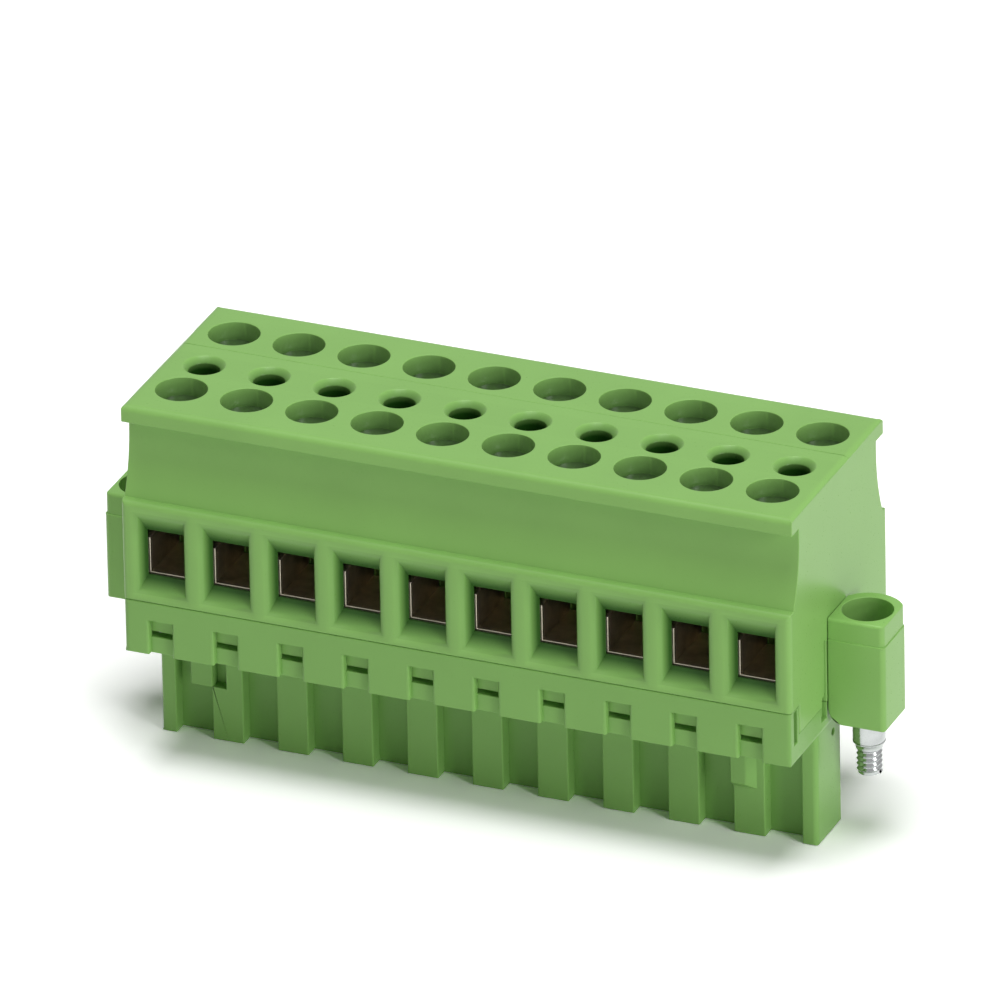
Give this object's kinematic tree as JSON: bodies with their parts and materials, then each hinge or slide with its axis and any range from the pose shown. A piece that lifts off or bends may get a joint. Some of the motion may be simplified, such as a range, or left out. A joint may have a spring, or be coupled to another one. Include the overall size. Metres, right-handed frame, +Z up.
{
  "type": "pluggable terminal block",
  "caption": "Long pluggable screw terminal block with funnel-shaped wire entries on both long sides, screw clamps under round wells, test holes, and captive screw flanges.",
  "frame": {"origin": "middle of the plane that the plug's bottom lies in, which is the lowest plane of the part", "axes": "+X along the row of poles, +Y towards the rear row of clamps (away from the keys), +Z up, the way the plug is pulled out of its header"},
  "size_m": [0.0606, 0.0186, 0.0285],
  "materials": {
    "housing": "satin",
    "plug": "satin",
    "screw": "zinc plated",
    "cage": "plated",
    "contact": "satin"
  },
  "bodies": {
    "housing": {"front_housing": "housing", "rear_housing": "housing", "plug_housing": "plug", "flange_left": "housing", "flange_right": "housing", "contact_1": "contact", "contact_2": "contact", "contact_3": "contact", "contact_4": "contact", "contact_5": "contact", "contact_6": "contact", "contact_7": "contact", "contact_8": "contact", "contact_9": "contact", "contact_10": "contact"},
    "clamp_screw_front_1": {"clamp_screw_front_1": "screw"},
    "cage_front_1": {"cage_front_1": "cage"},
    "clamp_screw_front_2": {"clamp_screw_front_2": "screw"},
    "cage_front_2": {"cage_front_2": "cage"},
    "clamp_screw_front_3": {"clamp_screw_front_3": "screw"},
    "cage_front_3": {"cage_front_3": "cage"},
    "clamp_screw_front_4": {"clamp_screw_front_4": "screw"},
    "cage_front_4": {"cage_front_4": "cage"},
    "clamp_screw_front_5": {"clamp_screw_front_5": "screw"},
    "cage_front_5": {"cage_front_5": "cage"},
    "clamp_screw_front_6": {"clamp_screw_front_6": "screw"},
    "cage_front_6": {"cage_front_6": "cage"},
    "clamp_screw_front_7": {"clamp_screw_front_7": "screw"},
    "cage_front_7": {"cage_front_7": "cage"},
    "clamp_screw_front_8": {"clamp_screw_front_8": "screw"},
    "cage_front_8": {"cage_front_8": "cage"},
    "clamp_screw_front_9": {"clamp_screw_front_9": "screw"},
    "cage_front_9": {"cage_front_9": "cage"},
    "clamp_screw_front_10": {"clamp_screw_front_10": "screw"},
    "cage_front_10": {"cage_front_10": "cage"},
    "clamp_screw_rear_1": {"clamp_screw_rear_1": "screw"},
    "cage_rear_1": {"cage_rear_1": "cage"},
    "clamp_screw_rear_2": {"clamp_screw_rear_2": "screw"},
    "cage_rear_2": {"cage_rear_2": "cage"},
    "clamp_screw_rear_3": {"clamp_screw_rear_3": "screw"},
    "cage_rear_3": {"cage_rear_3": "cage"},
    "clamp_screw_rear_4": {"clamp_screw_rear_4": "screw"},
    "cage_rear_4": {"cage_rear_4": "cage"},
    "clamp_screw_rear_5": {"clamp_screw_rear_5": "screw"},
    "cage_rear_5": {"cage_rear_5": "cage"},
    "clamp_screw_rear_6": {"clamp_screw_rear_6": "screw"},
    "cage_rear_6": {"cage_rear_6": "cage"},
    "clamp_screw_rear_7": {"clamp_screw_rear_7": "screw"},
    "cage_rear_7": {"cage_rear_7": "cage"},
    "clamp_screw_rear_8": {"clamp_screw_rear_8": "screw"},
    "cage_rear_8": {"cage_rear_8": "cage"},
    "clamp_screw_rear_9": {"clamp_screw_rear_9": "screw"},
    "cage_rear_9": {"cage_rear_9": "cage"},
    "clamp_screw_rear_10": {"clamp_screw_rear_10": "screw"},
    "cage_rear_10": {"cage_rear_10": "cage"},
    "flange_screw_left": {"flange_screw_left": "screw"},
    "flange_screw_right": {"flange_screw_right": "screw"}
  },
  "joints": [
    {"name": "screw_front_1_turn", "type": "hinge", "parent": "housing", "child": "clamp_screw_front_1", "pos_m": [-0.02286, -0.00478, 0.0256], "axis": [0, 0, -1], "range_deg": [0, 1800]},
    {"name": "cage_front_1_lift", "type": "slide", "parent": "housing", "child": "cage_front_1", "axis": [0, 0, 1], "range_m": [0, 0.0025]},
    {"name": "screw_front_2_turn", "type": "hinge", "parent": "housing", "child": "clamp_screw_front_2", "pos_m": [-0.01778, -0.00478, 0.0256], "axis": [0, 0, -1], "range_deg": [0, 1800]},
    {"name": "cage_front_2_lift", "type": "slide", "parent": "housing", "child": "cage_front_2", "axis": [0, 0, 1], "range_m": [0, 0.0025]},
    {"name": "screw_front_3_turn", "type": "hinge", "parent": "housing", "child": "clamp_screw_front_3", "pos_m": [-0.0127, -0.00478, 0.0256], "axis": [0, 0, -1], "range_deg": [0, 1800]},
    {"name": "cage_front_3_lift", "type": "slide", "parent": "housing", "child": "cage_front_3", "axis": [0, 0, 1], "range_m": [0, 0.0025]},
    {"name": "screw_front_4_turn", "type": "hinge", "parent": "housing", "child": "clamp_screw_front_4", "pos_m": [-0.00762, -0.00478, 0.0256], "axis": [0, 0, -1], "range_deg": [0, 1800]},
    {"name": "cage_front_4_lift", "type": "slide", "parent": "housing", "child": "cage_front_4", "axis": [0, 0, 1], "range_m": [0, 0.0025]},
    {"name": "screw_front_5_turn", "type": "hinge", "parent": "housing", "child": "clamp_screw_front_5", "pos_m": [-0.00254, -0.00478, 0.0256], "axis": [0, 0, -1], "range_deg": [0, 1800]},
    {"name": "cage_front_5_lift", "type": "slide", "parent": "housing", "child": "cage_front_5", "axis": [0, 0, 1], "range_m": [0, 0.0025]},
    {"name": "screw_front_6_turn", "type": "hinge", "parent": "housing", "child": "clamp_screw_front_6", "pos_m": [0.00254, -0.00478, 0.0256], "axis": [0, 0, -1], "range_deg": [0, 1800]},
    {"name": "cage_front_6_lift", "type": "slide", "parent": "housing", "child": "cage_front_6", "axis": [0, 0, 1], "range_m": [0, 0.0025]},
    {"name": "screw_front_7_turn", "type": "hinge", "parent": "housing", "child": "clamp_screw_front_7", "pos_m": [0.00762, -0.00478, 0.0256], "axis": [0, 0, -1], "range_deg": [0, 1800]},
    {"name": "cage_front_7_lift", "type": "slide", "parent": "housing", "child": "cage_front_7", "axis": [0, 0, 1], "range_m": [0, 0.0025]},
    {"name": "screw_front_8_turn", "type": "hinge", "parent": "housing", "child": "clamp_screw_front_8", "pos_m": [0.0127, -0.00478, 0.0256], "axis": [0, 0, -1], "range_deg": [0, 1800]},
    {"name": "cage_front_8_lift", "type": "slide", "parent": "housing", "child": "cage_front_8", "axis": [0, 0, 1], "range_m": [0, 0.0025]},
    {"name": "screw_front_9_turn", "type": "hinge", "parent": "housing", "child": "clamp_screw_front_9", "pos_m": [0.01778, -0.00478, 0.0256], "axis": [0, 0, -1], "range_deg": [0, 1800]},
    {"name": "cage_front_9_lift", "type": "slide", "parent": "housing", "child": "cage_front_9", "axis": [0, 0, 1], "range_m": [0, 0.0025]},
    {"name": "screw_front_10_turn", "type": "hinge", "parent": "housing", "child": "clamp_screw_front_10", "pos_m": [0.02286, -0.00478, 0.0256], "axis": [0, 0, -1], "range_deg": [0, 1800]},
    {"name": "cage_front_10_lift", "type": "slide", "parent": "housing", "child": "cage_front_10", "axis": [0, 0, 1], "range_m": [0, 0.0025]},
    {"name": "screw_rear_1_turn", "type": "hinge", "parent": "housing", "child": "clamp_screw_rear_1", "pos_m": [-0.02286, 0.00478, 0.0256], "axis": [0, 0, -1], "range_deg": [0, 1800]},
    {"name": "cage_rear_1_lift", "type": "slide", "parent": "housing", "child": "cage_rear_1", "axis": [0, 0, 1], "range_m": [0, 0.0025]},
    {"name": "screw_rear_2_turn", "type": "hinge", "parent": "housing", "child": "clamp_screw_rear_2", "pos_m": [-0.01778, 0.00478, 0.0256], "axis": [0, 0, -1], "range_deg": [0, 1800]},
    {"name": "cage_rear_2_lift", "type": "slide", "parent": "housing", "child": "cage_rear_2", "axis": [0, 0, 1], "range_m": [0, 0.0025]},
    {"name": "screw_rear_3_turn", "type": "hinge", "parent": "housing", "child": "clamp_screw_rear_3", "pos_m": [-0.0127, 0.00478, 0.0256], "axis": [0, 0, -1], "range_deg": [0, 1800]},
    {"name": "cage_rear_3_lift", "type": "slide", "parent": "housing", "child": "cage_rear_3", "axis": [0, 0, 1], "range_m": [0, 0.0025]},
    {"name": "screw_rear_4_turn", "type": "hinge", "parent": "housing", "child": "clamp_screw_rear_4", "pos_m": [-0.00762, 0.00478, 0.0256], "axis": [0, 0, -1], "range_deg": [0, 1800]},
    {"name": "cage_rear_4_lift", "type": "slide", "parent": "housing", "child": "cage_rear_4", "axis": [0, 0, 1], "range_m": [0, 0.0025]},
    {"name": "screw_rear_5_turn", "type": "hinge", "parent": "housing", "child": "clamp_screw_rear_5", "pos_m": [-0.00254, 0.00478, 0.0256], "axis": [0, 0, -1], "range_deg": [0, 1800]},
    {"name": "cage_rear_5_lift", "type": "slide", "parent": "housing", "child": "cage_rear_5", "axis": [0, 0, 1], "range_m": [0, 0.0025]},
    {"name": "screw_rear_6_turn", "type": "hinge", "parent": "housing", "child": "clamp_screw_rear_6", "pos_m": [0.00254, 0.00478, 0.0256], "axis": [0, 0, -1], "range_deg": [0, 1800]},
    {"name": "cage_rear_6_lift", "type": "slide", "parent": "housing", "child": "cage_rear_6", "axis": [0, 0, 1], "range_m": [0, 0.0025]},
    {"name": "screw_rear_7_turn", "type": "hinge", "parent": "housing", "child": "clamp_screw_rear_7", "pos_m": [0.00762, 0.00478, 0.0256], "axis": [0, 0, -1], "range_deg": [0, 1800]},
    {"name": "cage_rear_7_lift", "type": "slide", "parent": "housing", "child": "cage_rear_7", "axis": [0, 0, 1], "range_m": [0, 0.0025]},
    {"name": "screw_rear_8_turn", "type": "hinge", "parent": "housing", "child": "clamp_screw_rear_8", "pos_m": [0.0127, 0.00478, 0.0256], "axis": [0, 0, -1], "range_deg": [0, 1800]},
    {"name": "cage_rear_8_lift", "type": "slide", "parent": "housing", "child": "cage_rear_8", "axis": [0, 0, 1], "range_m": [0, 0.0025]},
    {"name": "screw_rear_9_turn", "type": "hinge", "parent": "housing", "child": "clamp_screw_rear_9", "pos_m": [0.01778, 0.00478, 0.0256], "axis": [0, 0, -1], "range_deg": [0, 1800]},
    {"name": "cage_rear_9_lift", "type": "slide", "parent": "housing", "child": "cage_rear_9", "axis": [0, 0, 1], "range_m": [0, 0.0025]},
    {"name": "screw_rear_10_turn", "type": "hinge", "parent": "housing", "child": "clamp_screw_rear_10", "pos_m": [0.02286, 0.00478, 0.0256], "axis": [0, 0, -1], "range_deg": [0, 1800]},
    {"name": "cage_rear_10_lift", "type": "slide", "parent": "housing", "child": "cage_rear_10", "axis": [0, 0, 1], "range_m": [0, 0.0025]},
    {"name": "flange_screw_left_turn", "type": "hinge", "parent": "housing", "child": "flange_screw_left", "pos_m": [-0.0281, 0, 0.0124], "axis": [0, 0, -1], "continuous": true},
    {"name": "flange_screw_right_turn", "type": "hinge", "parent": "housing", "child": "flange_screw_right", "pos_m": [0.0281, 0, 0.0124], "axis": [0, 0, -1], "continuous": true}
  ],
  "couplings": [
    {"joint": "cage_front_1_lift", "follows": "screw_front_1_turn", "m_per_rad": 0.000079577},
    {"joint": "cage_front_2_lift", "follows": "screw_front_2_turn", "m_per_rad": 0.000079577},
    {"joint": "cage_front_3_lift", "follows": "screw_front_3_turn", "m_per_rad": 0.000079577},
    {"joint": "cage_front_4_lift", "follows": "screw_front_4_turn", "m_per_rad": 0.000079577},
    {"joint": "cage_front_5_lift", "follows": "screw_front_5_turn", "m_per_rad": 0.000079577},
    {"joint": "cage_front_6_lift", "follows": "screw_front_6_turn", "m_per_rad": 0.000079577},
    {"joint": "cage_front_7_lift", "follows": "screw_front_7_turn", "m_per_rad": 0.000079577},
    {"joint": "cage_front_8_lift", "follows": "screw_front_8_turn", "m_per_rad": 0.000079577},
    {"joint": "cage_front_9_lift", "follows": "screw_front_9_turn", "m_per_rad": 0.000079577},
    {"joint": "cage_front_10_lift", "follows": "screw_front_10_turn", "m_per_rad": 0.000079577},
    {"joint": "cage_rear_1_lift", "follows": "screw_rear_1_turn", "m_per_rad": 0.000079577},
    {"joint": "cage_rear_2_lift", "follows": "screw_rear_2_turn", "m_per_rad": 0.000079577},
    {"joint": "cage_rear_3_lift", "follows": "screw_rear_3_turn", "m_per_rad": 0.000079577},
    {"joint": "cage_rear_4_lift", "follows": "screw_rear_4_turn", "m_per_rad": 0.000079577},
    {"joint": "cage_rear_5_lift", "follows": "screw_rear_5_turn", "m_per_rad": 0.000079577},
    {"joint": "cage_rear_6_lift", "follows": "screw_rear_6_turn", "m_per_rad": 0.000079577},
    {"joint": "cage_rear_7_lift", "follows": "screw_rear_7_turn", "m_per_rad": 0.000079577},
    {"joint": "cage_rear_8_lift", "follows": "screw_rear_8_turn", "m_per_rad": 0.000079577},
    {"joint": "cage_rear_9_lift", "follows": "screw_rear_9_turn", "m_per_rad": 0.000079577},
    {"joint": "cage_rear_10_lift", "follows": "screw_rear_10_turn", "m_per_rad": 0.000079577}
  ]
}
